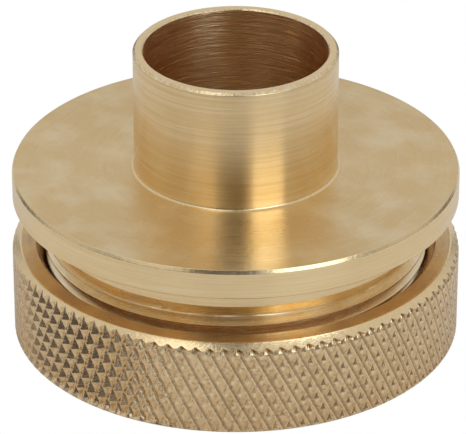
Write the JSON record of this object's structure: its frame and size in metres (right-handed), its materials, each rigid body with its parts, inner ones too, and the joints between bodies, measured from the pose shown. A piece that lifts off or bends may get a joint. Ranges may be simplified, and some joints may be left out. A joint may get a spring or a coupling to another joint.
{
  "type": "router template guide bushing",
  "caption": "Brass guide bushing for a router: a thin round collar on a flat flange, with a threaded shank below and a knurled ring nut screwed onto it.",
  "frame": {"origin": "centre of the plane that the lock nut stands on", "axes": "+Z along the bushing's axis, from the lock nut towards the collar"},
  "size_m": [0.0352, 0.0352, 0.0238],
  "materials": {
    "guide_brass": "fine turned satin, with faint facing rings",
    "nut_brass": "diamond knurled rim, satin turned faces"
  },
  "bodies": {
    "guide": {"guide_bushing": "guide_brass"},
    "nut": {"lock_nut": "nut_brass"}
  },
  "joints": [
    {"name": "lock_nut_turn", "type": "hinge", "parent": "guide", "child": "nut", "pos_m": [0, 0, 0.00378], "axis": [0, 0, 1], "range_deg": [-2520, 1020]}
  ]
}
